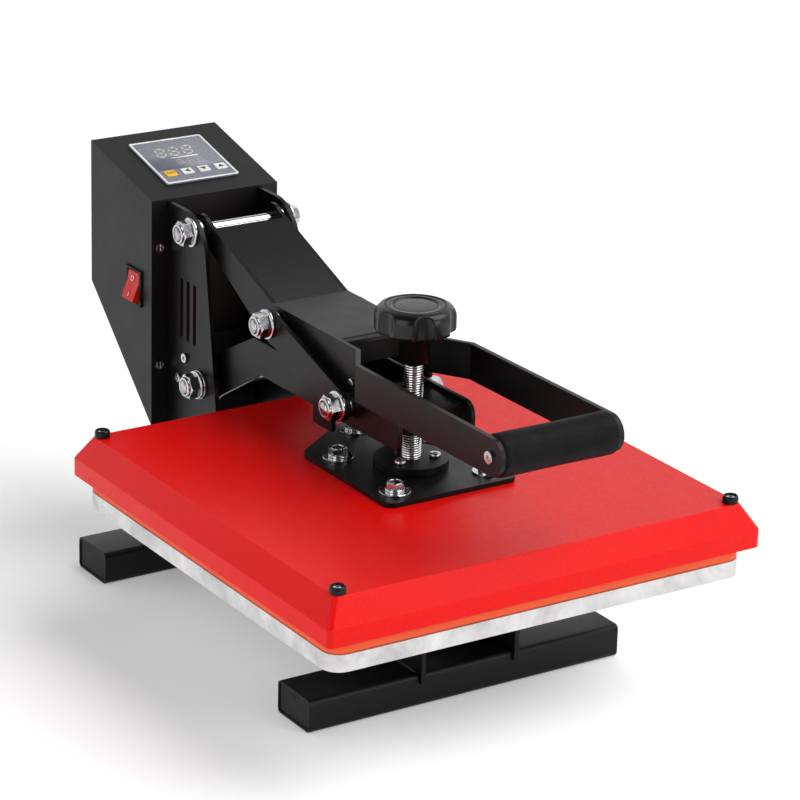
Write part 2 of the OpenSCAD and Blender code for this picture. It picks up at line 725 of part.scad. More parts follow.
front_foot();
rear_foot();
foot_plugs();
left_side_frame();
right_side_frame();
platen_crossbars();
frame_tie_bracket();
frame_screws();
lower_platen();
platen_bolts();
silicone_pad();
top_pivot_bolt();
arm_pivot_bolt();
pivot_nuts();
box_shell();
box_front_panel();
box_screws();
box_mount_bolts();
display_panel();
display_window();
controller_board();
solid_state_relay();
switch_housing();
power_inlet();
set_key();
left_key();
down_key();
up_key();
switch_rocker();
handle_channel();
left_handle_bar();
right_handle_bar();
handle_grip();
grip_tube();
grip_screws();
knee_rod();
left_link();
knee_bolt_end();
left_arm_plate();
right_arm_plate();
arm_webs();
screw_nut();
link_bolt();
link_nuts();
mounting_plate();
plate_bolts();
thrust_flange();
flange_screws();
platen_cover();
cover_cups();
cover_screws();
bridge_plate();
insulation_pad();
heat_platen();
heating_element();
temperature_probe();
pressure_screw();
pressure_knob();
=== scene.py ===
import json
import math

import bmesh
import bpy
from mathutils import Matrix, Vector


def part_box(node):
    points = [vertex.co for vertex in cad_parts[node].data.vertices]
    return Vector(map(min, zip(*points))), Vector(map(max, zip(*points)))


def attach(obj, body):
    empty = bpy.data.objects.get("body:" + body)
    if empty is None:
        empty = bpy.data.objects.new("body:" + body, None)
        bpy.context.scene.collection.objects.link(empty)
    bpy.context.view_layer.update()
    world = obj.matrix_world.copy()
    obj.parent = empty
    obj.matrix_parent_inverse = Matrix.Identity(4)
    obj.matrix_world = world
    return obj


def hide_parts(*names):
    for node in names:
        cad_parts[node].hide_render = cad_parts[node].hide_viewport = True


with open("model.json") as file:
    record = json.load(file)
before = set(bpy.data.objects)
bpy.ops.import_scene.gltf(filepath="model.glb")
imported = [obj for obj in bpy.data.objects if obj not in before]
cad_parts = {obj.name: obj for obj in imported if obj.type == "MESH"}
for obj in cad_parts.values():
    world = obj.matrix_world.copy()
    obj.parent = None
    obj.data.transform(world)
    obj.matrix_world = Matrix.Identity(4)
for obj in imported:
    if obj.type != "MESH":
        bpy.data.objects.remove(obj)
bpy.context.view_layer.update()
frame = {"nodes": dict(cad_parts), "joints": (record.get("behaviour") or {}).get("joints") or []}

NODES = frame["nodes"]
JOINTS = {j["name"]: j for j in frame["joints"]}


# ---------------------------------------------------------------- places from the frame

def low(node):
    return Vector(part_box(node)[0])


def high(node):
    return Vector(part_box(node)[1])


def centre(node):
    return (low(node) + high(node)) / 2


def pivot(joint):
    return Vector(JOINTS[joint]["pos_m"])


TOP_PIVOT = pivot("handle_lift")
ARM_PIVOT = pivot("arm_open")
LINK_PIVOT = pivot("link_swing")
KNEE = centre("knee_bolt_end")
SCREW = Vector((centre("pressure_screw").x, centre("pressure_screw").y, 0))
GRIP = centre("handle_grip")


# ---------------------------------------------------------------- materials

def mapped(tree, source, a, b, start, stop, smooth=False):
    """Value that goes from start to stop while the source goes from a to b."""
    node = tree.nodes.new("ShaderNodeMapRange")
    if smooth:
        node.interpolation_type = "SMOOTHSTEP"
    node.inputs["From Min"].default_value = a
    node.inputs["From Max"].default_value = b
    node.inputs["To Min"].default_value = start
    node.inputs["To Max"].default_value = stop
    tree.links.new(source, node.inputs["Value"])
    return node.outputs["Result"]


class Surface:
    """A node material on object coordinates, built from noise layers."""

    def __init__(self, name, rough, metal=0.0, coat=0.0, specular=0.5):
        self.mat = bpy.data.materials.new(name)
        self.mat.use_nodes = True
        self.tree = self.mat.node_tree
        self.shader = self.tree.nodes["Principled BSDF"]
        self.shader.inputs["Metallic"].default_value = metal
        self.shader.inputs["Roughness"].default_value = rough
        self.shader.inputs["Coat Weight"].default_value = coat
        self.shader.inputs["Coat Roughness"].default_value = 0.15
        self.shader.inputs["Specular IOR Level"].default_value = specular
        self.coord = self.tree.nodes.new("ShaderNodeTexCoord").outputs["Object"]
        self.normal = None

    def link(self, a, b):
        self.tree.links.new(a, b)

    def stretched(self, stretch):
        if stretch is None:
            return self.coord
        node = self.tree.nodes.new("ShaderNodeMapping")
        node.inputs["Scale"].default_value = stretch
        self.link(self.coord, node.inputs["Vector"])
        return node.outputs["Vector"]

    def noise(self, scale, detail=3.0, rough=0.5, stretch=None, distortion=0.0):
        node = self.tree.nodes.new("ShaderNodeTexNoise")
        node.inputs["Scale"].default_value = scale
        node.inputs["Detail"].default_value = detail
        node.inputs["Roughness"].default_value = rough
        node.inputs["Distortion"].default_value = distortion
        self.link(self.stretched(stretch), node.inputs["Vector"])
        return node.outputs["Fac"]

    def cells(self, scale):
        node = self.tree.nodes.new("ShaderNodeTexVoronoi")
        node.inputs["Scale"].default_value = scale
        self.link(self.coord, node.inputs["Vector"])
        return node.outputs["Distance"]

    def ramp(self, source, stops):
        node = self.tree.nodes.new("ShaderNodeValToRGB")
        ramp = node.color_ramp
        while len(ramp.elements) < len(stops):
            ramp.elements.new(0.5)
        for element, (at, colour) in zip(ramp.elements, stops):
            element.position = at
            element.color = (*colour, 1.0)
        self.link(source, node.inputs["Fac"])
        return node.outputs["Color"]

    def colour(self, source, dark, light, a=0.35, b=0.65):
        self.link(self.ramp(source, [(a, dark), (b, light)]), self.shader.inputs["Base Color"])
        return self

    def roughness(self, source, least, most, a=0.3, b=0.7):
        self.link(mapped(self.tree, source, a, b, least, most), self.shader.inputs["Roughness"])
        return self

    def bump(self, source, strength, depth):
        node = self.tree.nodes.new("ShaderNodeBump")
        node.inputs["Strength"].default_value = strength
        node.inputs["Distance"].default_value = depth
        self.link(source, node.inputs["Height"])
        if self.normal:
            self.link(self.normal, node.inputs["Normal"])
        self.normal = node.outputs["Normal"]
        self.link(self.normal, self.shader.inputs["Normal"])
        return self


def shade(colour, factor):
    return tuple(c * factor for c in colour)


def powder_coat(name, colour, rough, grain=1100, depth=0.00006, spread=0.25, specular=0.3):
    s = Surface(name, rough, specular=specular)
    s.colour(s.noise(14, 4), shade(colour, 1 - spread), shade(colour, 1 + spread))
    s.roughness(s.noise(60, 4), rough - 0.02, rough + 0.03)
    s.bump(s.noise(grain, 2), 0.35, depth)
    return s.mat


def red_powder():
    s = Surface("cover_red", 0.34, specular=0.16)
    speckle = s.noise(1500, 1)
    s.colour(speckle, (0.72, 0.0024, 0.0016), (0.84, 0.0052, 0.0034), 0.38, 0.66)
    s.roughness(s.noise(260, 3), 0.28, 0.40)
    s.bump(s.noise(620, 2), 0.8, 0.0002)
    s.bump(speckle, 0.3, 0.00007)
    return s.mat


def zinc(name, colour=(0.60, 0.61, 0.63), rough=0.13, grain=0.03):
    s = Surface(name, rough, metal=1.0)
    s.colour(s.noise(90, 4), shade(colour, 0.86), shade(colour, 1.1))
    s.roughness(s.noise(240, 3), rough - 0.04, rough + 0.07)
    s.bump(s.noise(900, 2), grain, 0.00004)
    return s.mat


def thread_metal_painted_root_shade(name, root, crest):
    """Zinc with painted shade in the thread: darker towards the root, by distance from the rod's axis."""
    s = Surface(name, 0.2, metal=1.0)
    flat = s.tree.nodes.new("ShaderNodeVectorMath")
    flat.operation = "MULTIPLY"
    flat.inputs[1].default_value = (1, 1, 0)
    axis = s.tree.nodes.new("ShaderNodeVectorMath")
    axis.operation = "SUBTRACT"
    axis.inputs[1].default_value = SCREW
    s.link(s.coord, axis.inputs[0])
    s.link(axis.outputs["Vector"], flat.inputs[0])
    away = s.tree.nodes.new("ShaderNodeVectorMath")
    away.operation = "LENGTH"
    s.link(flat.outputs["Vector"], away.inputs[0])
    # Painted shade: colour runs from dark at the thread's root to light at its crest
    level = mapped(s.tree, away.outputs["Value"], root, crest, 0.0, 1.0)
    s.colour(level, (0.04, 0.04, 0.04), (0.92, 0.92, 0.92), 0.2, 0.7)
    s.roughness(s.noise(240, 3), 0.16, 0.28)
    return s.mat


def hub_and_knob(rim_z):
    """Moulded black whose hub below the rim is matt."""
    s = Surface("knob_moulding", 0.26)
    s.colour(s.noise(45, 3), (0.0040, 0.0039, 0.0040), (0.0052, 0.0051, 0.0052))
    s.roughness(s.noise(110, 3), 0.21, 0.28)
    s.bump(s.noise(1300, 2), 0.15, 0.00003)
    height = s.tree.nodes.new("ShaderNodeSeparateXYZ")
    s.link(s.coord, height.inputs["Vector"])
    level = mapped(s.tree, height.outputs["Z"], rim_z, rim_z + 0.003, 0.03, 0.32)
    s.link(level, s.shader.inputs["Specular IOR Level"])
    return s.mat


def cast_metal():
    s = Surface("cast_bed", 0.55, metal=0.45)
    blotch = s.noise(22, 6, 0.65, distortion=0.6)
    s.colour(blotch, (0.46, 0.46, 0.46), (0.84, 0.835, 0.83), 0.3, 0.68)
    s.roughness(s.noise(140, 5), 0.45, 0.68)
    s.bump(s.noise(260, 5, 0.7), 0.55, 0.0004)
    s.bump(s.noise(60, 3), 0.3, 0.0009)
    return s.mat


def machined(name, colour):
    s = Surface(name, 0.35, metal=0.9)
    streak = s.noise(40, 5, stretch=(1, 60, 1))
    s.colour(streak, shade(colour, 0.85), shade(colour, 1.1))
    s.roughness(streak, 0.28, 0.45)
    s.bump(streak, 0.2, 0.00006)
    return s.mat


def silicone():
    s = Surface("pad_orange", 0.55, specular=0.35)
    s.colour(s.noise(30, 4), (0.85, 0.092, 0.018), (0.90, 0.106, 0.021))
    s.roughness(s.noise(120, 3), 0.5, 0.66)
    s.bump(s.cells(520), 0.25, 0.0002)
    return s.mat


def foam():
    s = Surface("grip_foam", 0.62, specular=0.10)
    s.colour(s.noise(700, 2), (0.0030, 0.0030, 0.0031), (0.0062, 0.0062, 0.0064))
    s.roughness(s.noise(90, 4), 0.5, 0.66)
    s.bump(s.cells(950), 0.4, 0.00018)
    return s.mat


def plastic(name, colour, rough, grain=1300, depth=0.00004, spread=0.15, specular=0.5):
    s = Surface(name, rough, specular=specular)
    s.colour(s.noise(45, 3), shade(colour, 1 - spread), shade(colour, 1 + spread))
    s.roughness(s.noise(110, 3), rough - 0.04, rough + 0.05)
    s.bump(s.noise(grain, 2), 0.25, depth)
    return s.mat


def printed_film():
    s = Surface("panel_blue_grey", 0.34, coat=0.08, specular=0.35)
    s.colour(s.noise(900, 1), (0.19, 0.198, 0.245), (0.225, 0.234, 0.288))
    s.roughness(s.noise(160, 3), 0.24, 0.34)
    s.bump(s.noise(1600, 1), 0.12, 0.00002)
    return s.mat


def wool():
    s = Surface("ceramic_wool", 0.9, specular=0.2)
    s.colour(s.noise(120, 6), (0.62, 0.6, 0.52), (0.86, 0.84, 0.76))
    s.bump(s.noise(380, 6, 0.7), 0.8, 0.0006)
    return s.mat


BLACK = powder_coat("frame_black", (0.0030, 0.0028, 0.0028), 0.35, spread=0.12, specular=0.20)
BOX_BLACK = powder_coat("box_black", (0.0050, 0.0047, 0.0046), 0.44, spread=0.15, specular=0.27)
RED = red_powder()
ZINC = zinc("zinc")
THREAD = thread_metal_painted_root_shade("thread_zinc", 0.0067, 0.0079)
BOLT_THREAD = zinc("bolt_thread", (0.50, 0.50, 0.51), 0.2, 0.0)
CAST = cast_metal()
PLATEN = machined("heated_aluminium", (0.62, 0.62, 0.62))
PAD = silicone()
FOAM = foam()
KNOB = plastic("knob_black", (0.0042, 0.0041, 0.0042), 0.30, specular=0.22)
TRIM = plastic("plug_black", (0.004, 0.004, 0.004), 0.5, specular=0.25)
FILM = printed_film()
BORDER = plastic("film_border", (0.86, 0.86, 0.87), 0.3)
INK = plastic("film_ink", (0.012, 0.012, 0.014), 0.3)
SEGMENT = plastic("segment_grey", (0.52, 0.5, 0.47), 0.35)
DIM_SEGMENT = plastic("segment_dim", (0.34, 0.33, 0.32), 0.35)
YELLOW = plastic("key_yellow", (0.93, 0.52, 0.02), 0.3)
WHITE = plastic("key_white", (0.84, 0.84, 0.84), 0.3)
ROCKER = plastic("rocker_red", (0.66, 0.008, 0.007), 0.22, specular=0.3)
BOARD = plastic("board_green", (0.02, 0.16, 0.06), 0.35)
RELAY = plastic("relay_case", (0.6, 0.59, 0.55), 0.45)
MICA = plastic("element_mica", (0.4, 0.32, 0.22), 0.5, grain=400, depth=0.0002)
WOOL = wool()


# ---------------------------------------------------------------- mesh helpers

# Points closer than this, in metres, are one point
SAME_POINT = 0.000002
# Degrees between faces: up to the first they are joined, above the second their edge is rounded
FLAT_WITHIN = 0.6
BEVEL_ABOVE = 30
IDENTITY = Matrix.Identity(4)


def smooth_object(obj, width, weld=False):
    """Rounds the sharp edges and shades the rest smooth."""
    mesh = obj.data
    if weld:
        if "custom_normal" in mesh.attributes:
            mesh.attributes.remove(mesh.attributes["custom_normal"])
        joiner = obj.modifiers.new("weld", "WELD")
        joiner.merge_threshold = SAME_POINT
        planar = obj.modifiers.new("planar", "DECIMATE")
        planar.decimate_type = "DISSOLVE"
        planar.angle_limit = math.radians(FLAT_WITHIN)
    mesh.shade_smooth()
    bevel = obj.modifiers.new("edge", "BEVEL")
    bevel.width = width
    bevel.segments = 2
    bevel.limit_method = "ANGLE"
    bevel.angle_limit = math.radians(BEVEL_ABOVE)
    bevel.harden_normals = True
    bevel.use_clamp_overlap = True


def dress(material, width, *nodes):
    """A CAD node keeps its shape and gets its finish and small edge radii."""
    for node in nodes:
        obj = NODES[node]
        obj.data.materials.clear()
        obj.data.materials.append(material)
        smooth_object(obj, width, weld=True)


def new_object(name, bm, material, body, width=0.0, place=None, replaces=()):
    """A made piece: placed, finished, with rounded edges if a width is given, riding its body."""
    bmesh.ops.recalc_face_normals(bm, faces=bm.faces)
    mesh = bpy.data.meshes.new(name)
    bm.to_mesh(mesh)
    bm.free()
    obj = bpy.data.objects.new(name, mesh)
    bpy.context.scene.collection.objects.link(obj)
    if place is not None:
        mesh.transform(place)
    mesh.materials.append(material)
    if width:
        smooth_object(obj, width)
    else:
        mesh.shade_smooth()
    if replaces:
        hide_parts(*replaces)
    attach(obj, body)
    return obj


def ring_grid(bm, rings, closed_ends=True, loop=False):
    """Faces between rings of equal length; the first and last ring are capped, or joined to each other."""
    made = [[bm.verts.new(p) for p in ring] for ring in rings]
    count = len(made[0])
    pairs = list(zip(made, made[1:]))
    if loop:
        pairs.append((made[-1], made[0]))
    for a, b in pairs:
        for i in range(count):
            j = (i + 1) % count
            bm.faces.new((a[i], a[j], b[j], b[i]))
    if closed_ends and not loop:
        bm.faces.new(made[0][::-1])
        bm.faces.new(made[-1])
    return made


def circle(radius, height, steps=64):
    return [Vector((radius * math.cos(t), radius * math.sin(t), height))
            for t in (math.tau * i / steps for i in range(steps))]


def lathe(profile, steps=64, loop=False):
    """Turned form about Z from (radius, height) points, in metres."""
    bm = bmesh.new()
    ring_grid(bm, [circle(r, z, steps) for r, z in profile], not loop, loop)
    return bm


def plate_mesh(outline, thickness):
    """Flat plate from an XY outline, from z = 0 upwards."""
    bm = bmesh.new()
    ring_grid(bm, [[Vector((x, y, z)) for x, y in outline] for z in (0.0, thickness)])
    return bm


def merged(*parts):
    """One bmesh from several, each placed by its own matrix."""
    total = bmesh.new()
    for part, place in parts:
        mesh = bpy.data.meshes.new("part")
        bmesh.ops.recalc_face_normals(part, faces=part.faces)
        part.to_mesh(mesh)
        part.free()
        mesh.transform(place)
        total.from_mesh(mesh)
        bpy.data.meshes.remove(mesh)
    return total


def at(x, y, z):
    return Matrix.Translation(Vector((x, y, z)))


def outward(point, side):
    """Local +Z points along X, away from the middle, on the given side."""
    return at(0, point.y, point.z) @ Matrix.Rotation(side * math.pi / 2, 4, "Y")


def framed(x_axis, y_axis, z_axis, origin):
    """Matrix that takes local axes to these directions and the local origin to this point."""
    return Matrix(((x_axis.x, y_axis.x, z_axis.x, origin.x), (x_axis.y, y_axis.y, z_axis.y, origin.y),
                   (x_axis.z, y_axis.z, z_axis.z, origin.z), (0, 0, 0, 1)))


def arc(cx, cy, radius, start, stop, steps):
    angles = [math.radians(start + (stop - start) * i / steps) for i in range(steps + 1)]
    return [(cx + radius * math.cos(t), cy + radius * math.sin(t)) for t in angles]


def rounded_rect(width, depth, radius, steps=6):
    w, d = width / 2 - radius, depth / 2 - radius
    points = []
    for cx, cy, a in ((w, d, 0), (-w, d, 90), (-w, -d, 180), (w, -d, 270)):
        points += arc(cx, cy, radius, a, a + 90, steps)
    return points


# ---------------------------------------------------------------- fasteners

# Turned circle on a hexagon's end as a share of its half width, and how its corners drop beyond that circle
TURNED = 0.9792
CORNER_DROP = 0.58


def hex_prism(flats, bottom, top, steps=72):
    """Hexagon with the corners turned off at its outer end."""
    half = flats / 2
    circle_r = half * TURNED

    def hex_ring(height, drop_share):
        ring = []
        for i in range(steps):
            t = math.tau * i / steps
            across = half / math.cos((t + math.pi / 6) % (math.pi / 3) - math.pi / 6)
            drop = max(0.0, across - circle_r) * drop_share
            ring.append(Vector((across * math.cos(t), across * math.sin(t), height - drop)))
        return ring

    bm = bmesh.new()
    ring_grid(bm, [circle(circle_r, bottom, steps), hex_ring(bottom, 0.0), hex_ring(top, CORNER_DROP),
                   circle(circle_r, top, steps)])
    return bm


def washer(inner, outer, bottom, thickness, steps=72):
    edge = min(0.0003, thickness / 4)
    top = bottom + thickness
    return lathe([(inner, bottom), (outer - edge, bottom), (outer, bottom + edge), (outer, top - edge),
                  (outer - edge, top), (inner, top)], steps, loop=True)


# One turn of the thread as (share of the pitch, share of the depth)
THREAD_ROWS = ((0.0, 0.0), (0.12, 0.0), (0.44, 1.0), (0.56, 1.0))


def threaded_rod(radius, depth, pitch, bottom, top, steps=40, fade=0.0012):
    """Rod with a real helical thread whose edges follow the helix; the crests run out at both ends."""
    bm = bmesh.new()
    per = len(THREAD_ROWS)
    rows = per * (int((top - bottom) / pitch) + 3)
    grid = []
    for k in range(rows):
        phase, level = THREAD_ROWS[k % per]
        line = []
        for i in range(steps):
            z = bottom + pitch * (k // per - 2 + phase + i / steps)
            near = max(0.0, min(1.0, (top - z) / fade, (z - bottom) / fade))
            r = radius - depth * (1 - level * near)
            t = math.tau * i / steps
            line.append(bm.verts.new((r * math.cos(t), r * math.sin(t), min(top, max(bottom, z)))))
        grid.append(line)
    for k in range(rows - 1):
        for i in range(steps):
            if i + 1 < steps:
                bm.faces.new((grid[k][i], grid[k][i + 1], grid[k + 1][i + 1], grid[k + 1][i]))
            elif k + per + 1 < rows:
                bm.faces.new((grid[k][i], grid[k + per][0], grid[k + per + 1][0], grid[k + 1][i]))
    bmesh.ops.remove_doubles(bm, verts=bm.verts, dist=SAME_POINT)
    bmesh.ops.dissolve_degenerate(bm, edges=bm.edges, dist=SAME_POINT)
    bmesh.ops.holes_fill(bm, edges=[e for e in bm.edges if e.is_boundary])
    return bm


def lock_nut(seat, flats=0.019):
    """Nut with a turned collar that holds a nylon ring, from the seat outwards."""
    hexagon = hex_prism(flats, seat, seat + 0.0088)
    collar = lathe([(0.0062, seat + 0.0080), (0.0086, seat + 0.0080), (0.0086, seat + 0.0096),
                    (0.0082, seat + 0.0106), (0.0074, seat + 0.0110), (0.0066, seat + 0.0110),
                    (0.0062, seat + 0.0104)], 72, loop=True)
    return merged((hexagon, IDENTITY), (collar, IDENTITY))


def hex_head(seat, flats, height, dished=0.0009):
    """Bolt head with a washer face and a shallow dish in the top."""
    body = hex_prism(flats, seat + 0.0004, seat + height - 0.0004)
    face = lathe([(0.001, seat), (flats / 2 - 0.0004, seat), (flats / 2 - 0.0004, seat + 0.0006),
                  (0.001, seat + 0.0006)], 72)
    dish = lathe([(flats * 0.44, seat + height - 0.0006), (flats * 0.42, seat + height - 0.0001),
                  (flats * 0.36, seat + height), (flats * 0.34, seat + height - dished * 0.3),
                  (flats * 0.32, seat + height - dished * 0.9), (0.0004, seat + height - dished)], 72)
    return merged((body, IDENTITY), (face, IDENTITY), (dish, IDENTITY))


# M12 pivot bolts, in metres: thread end beyond the nut's seat, head, washer
BOLT_R = 0.006
BOLT_PITCH = 0.00175
STUB = 0.0116
HEAD = 0.0075
HEAD_FLATS = 0.016
WASHER_R = 0.0125
WASHER_T = 0.0025


def bolt_and_head(name, point, inner, seat, body, replaces=()):
    """Smooth part of a bolt along X from inner to its head, which sits at seat on the +X side."""
    rod = lathe([(BOLT_R, inner), (BOLT_R, seat + 0.001)], 48)
    head = hex_head(seat, HEAD_FLATS, HEAD)
    place = outward(point, 1)
    new_object(name + "_bolt", merged((rod, place), (head, place)), ZINC, body, 0.0002, replaces=replaces)


def nut_end(name, point, seat, body, replaces=()):
    """Lock nut and thread end on the -X side."""
    place = outward(point, -1)
    end = threaded_rod(BOLT_R - 0.00005, 0.0006, BOLT_PITCH, seat - 0.001, seat + STUB)
    new_object(name + "_thread_end", end, BOLT_THREAD, body, place=place)
    new_object(name + "_nut", lock_nut(seat), ZINC, body, 0.00015, place, replaces=replaces)


def ring(name, point, side, inner_x, outer_x, radius, body):
    """Washer or spacer on a pivot bolt, between two distances from the middle."""
    new_object(name, washer(BOLT_R, radius, inner_x, outer_x - inner_x), ZINC, body, 0.0,
               outward(point, side))


# ---------------------------------------------------------------- frame and bed

dress(BLACK, 0.0004, "front_foot", "rear_foot", "left_side_frame", "right_side_frame", "platen_crossbars",
      "frame_tie_bracket")
dress(TRIM, 0.0003, "foot_plugs", "power_inlet")
dress(ZINC, 0.0002, "frame_screws", "platen_bolts", "box_screws", "box_mount_bolts")
dress(CAST, 0.0012, "lower_platen")


BEAD_R = 0.0024
BEAD_RIPPLE = 0.0022


def weld_bead(name, start, stop, radius, body, seed):
    """Rippled fillet between two plates, half sunk in both."""
    length = (stop - start).length
    along = (stop - start).normalized()
    aside = along.cross(Vector((0, 0, 1))).normalized()
    up = aside.cross(along)
    rings = []
    rows = max(6, int(length / 0.0016))
    for row in range(rows + 1):
        f = row / rows
        ripple = 1 + 0.10 * math.sin(f * length / BEAD_RIPPLE * math.pi + seed)
        ripple += 0.05 * math.sin(f * 91 + seed * 2)
        taper = min(1.0, 8 * f + 0.3, 8 * (1 - f) + 0.3)
        r = radius * ripple * taper
        middle = start + along * length * f
        rings.append([middle + aside * r * math.cos(t) + up * r * math.sin(t)
                      for t in (math.tau * i / 10 for i in range(10))])
    bm = bmesh.new()
    ring_grid(bm, rings)
    new_object(name, bm, BLACK, body)


FRAME_IN = low("right_side_frame").x
FRAME_OUT = high("right_side_frame").x
for foot in ("front_foot", "rear_foot"):
    top = high(foot).z
    ends = (low(foot).y + 0.004, high(foot).y - 0.004)
    for side, word in ((-1, "left"), (1, "right")):
        x = side * FRAME_OUT
        weld_bead(f"{foot}_{word}_weld", Vector((x, ends[0], top)), Vector((x, ends[1], top)), BEAD_R, "base",
                  len(foot) + side)

pad_low, pad_high = low("silicone_pad"), high("silicone_pad")
pad_size = pad_high - pad_low
pad_rings = []
for inset, z in ((0.0016, 0.0), (0.0004, 0.0006), (0.0, 0.0018), (0.0, pad_size.z - 0.0018),
                 (0.0004, pad_size.z - 0.0006), (0.0016, pad_size.z)):
    outline = rounded_rect(pad_size.x - 2 * inset, pad_size.y - 2 * inset, 0.014 - inset, 10)
    pad_rings.append([Vector((x, y, z)) for x, y in outline])
pad_mesh = bmesh.new()
ring_grid(pad_mesh, pad_rings)
pad = new_object("silicone_sheet", pad_mesh, PAD, "base",
                 place=at(SCREW.x, (pad_low.y + pad_high.y) / 2, pad_low.z), replaces=["silicone_pad"])


# ---------------------------------------------------------------- pivots

LINK_IN = -high("left_link").x
LINK_OUT = -low("left_link").x
ARM_OUT = high("right_arm_plate").x
FACE_GAP = 0.0003
SPACER_R = 0.0098


def head_seat(node):
    """Inner face of a bolt's head, from the middle."""
    return high(node).x - HEAD


def nut_seat(node):
    """Inner face of the nut on a bolt, from the middle."""
    return -low(node).x - STUB


for prefix, point, washers in (("top_pivot", TOP_PIVOT, 1), ("arm_pivot", ARM_PIVOT, 2)):
    bolt = prefix + "_bolt"
    bolt_and_head(prefix, point, -nut_seat(bolt), head_seat(bolt), "base", [bolt])
    nut_end(prefix, point, nut_seat(bolt), "base", ["pivot_nuts"] if washers == 1 else [])
    for side, word in ((-1, "left"), (1, "right")):
        for k in range(washers):
            start = FRAME_OUT + k * WASHER_T
            ring(f"{prefix}_washer_{word}_{k}", point, side, start, start + WASHER_T, WASHER_R - 0.0004 * k,
                 "base")
        ring(f"{prefix}_spacer_{word}", point, side, ARM_OUT + FACE_GAP, FRAME_IN, SPACER_R, "base")

bolt_and_head("link_pivot", LINK_PIVOT, -nut_seat("link_bolt"), head_seat("link_bolt"), "arm", ["link_bolt"])
nut_end("link_pivot", LINK_PIVOT, nut_seat("link_bolt"), "arm", ["link_nuts"])
for side, word in ((-1, "left"), (1, "right")):
    ring(f"link_pivot_spacer_{word}", LINK_PIVOT, side, ARM_OUT, LINK_IN - FACE_GAP, SPACER_R, "arm")
link_seat = nut_seat("link_bolt")
ring("link_pivot_washer", LINK_PIVOT, -1, link_seat - WASHER_T, link_seat, WASHER_R, "arm")

KNEE_WASHER_R = 0.0105
knee_inner = low("knee_rod").x
bolt_and_head("knee", KNEE, knee_inner, head_seat("knee_rod"), "lever", ["knee_rod"])
ring("knee_collar", KNEE, -1, ARM_OUT, -knee_inner, SPACER_R, "lever")
ring("knee_lever_washer", KNEE, 1, ARM_OUT, head_seat("knee_rod"), KNEE_WASHER_R, "lever")
knee_seat = LINK_OUT + WASHER_T
new_object("knee_stub", lathe([(BOLT_R, LINK_IN), (BOLT_R, knee_seat)], 48), ZINC, "links", 0.0,
           outward(KNEE, -1))
nut_end("knee", KNEE, knee_seat, "links", ["knee_bolt_end"])
ring("knee_washer", KNEE, -1, LINK_OUT, knee_seat, WASHER_R, "links")


# ---------------------------------------------------------------- lever, links and arm

dress(BLACK, 0.0005, "handle_channel", "left_handle_bar", "right_handle_bar", "left_link", "left_arm_plate",
      "right_arm_plate", "arm_webs", "screw_nut")
dress(ZINC, 0.0002, "grip_screws", "grip_tube")

# Front strip of the lever's web and its lip: web top above the knee, fronts ahead of the screw's axis
WEB_TOP = 0.0132
WEB_FRONT = 0.066
LIP_FRONT = 0.0515
SHEET = 0.0035
lip_r = 0.006
web_z = KNEE.z + WEB_TOP
web_y = SCREW.y + WEB_FRONT
lip_y = SCREW.y + LIP_FRONT
lip_bottom = web_z - 0.022
outline = [(web_y, web_z)]
outline += arc(lip_y + lip_r, web_z - lip_r, lip_r, 90, 180, 8)
outline += [(lip_y, lip_bottom), (lip_y + SHEET, lip_bottom)]
outline += arc(lip_y + lip_r, web_z - lip_r, lip_r - SHEET, 180, 90, 6)
outline += [(web_y, web_z - SHEET)]
lip_half = low("right_arm_plate").x + 0.0006
lip = bmesh.new()
ring_grid(lip, [[Vector((x, y, z)) for y, z in outline] for x in (-lip_half, lip_half)])
new_object("lever_web_lip", lip, BLACK, "lever", 0.0003)

grip_len = (high("handle_grip") - low("handle_grip")).x
grip_r = (high("handle_grip") - low("handle_grip")).z / 2
core_r = (high("grip_tube") - low("grip_tube")).z / 2
half = grip_len / 2
GRIP_EDGE = 0.0022
GRIP_WAIST = 0.00025
end_z = half - 0.0002
edge_z = end_z - GRIP_EDGE
quarter = [math.pi / 2 * i / 5 for i in range(6)]
profile = [(core_r, -end_z), (grip_r - GRIP_EDGE, -end_z)]
profile += [(grip_r - GRIP_EDGE + GRIP_EDGE * math.sin(t), -edge_z - GRIP_EDGE * math.cos(t)) for t in quarter]
for i in range(1, 12):
    waist = GRIP_WAIST * (1 - math.cos(math.tau * i / 12)) / 2
    profile.append((grip_r - waist, -half + 0.004 + (grip_len - 0.008) * i / 12))
profile += [(grip_r - GRIP_EDGE + GRIP_EDGE * math.cos(t), edge_z + GRIP_EDGE * math.sin(t)) for t in quarter]
profile += [(grip_r - GRIP_EDGE, end_z), (core_r, end_z)]
grip = new_object("foam_grip", lathe(profile, 72, loop=True), FOAM, "lever",
                  place=at(*GRIP) @ Matrix.Rotation(math.pi / 2, 4, "Y"), replaces=["handle_grip"])


# ---------------------------------------------------------------- heated head

cover_low, cover_high = low("platen_cover"), high("platen_cover")
cover_half = (cover_high.x - cover_low.x) / 2
FOLD = 0.015
BEVEL_IN = 0.012
WALL = 0.0015
FLAT_HALF = 0.10
fold_z = cover_low.z + FOLD
cover_rings = []
for side_half, z, radius in (
        (FLAT_HALF, cover_high.z, 0.01), (cover_half - BEVEL_IN, cover_high.z, 0.004),
        (cover_half, fold_z, 0.0045), (cover_half, cover_low.z, 0.0045),
        (cover_half - WALL, cover_low.z, 0.003), (cover_half - WALL, fold_z - 0.0006, 0.003),
        (cover_half - BEVEL_IN - 0.001, cover_high.z - WALL, 0.003),
        (FLAT_HALF, cover_high.z - WALL, 0.01)):
    cover_rings.append([Vector((x, y, z)) for x, y in rounded_rect(2 * side_half, 2 * side_half, radius, 5)])
cover = bmesh.new()
ring_grid(cover, cover_rings)
new_object("red_cover", cover, RED, "head", 0.0009, at(SCREW.x, SCREW.y, 0),
           replaces=["platen_cover"])

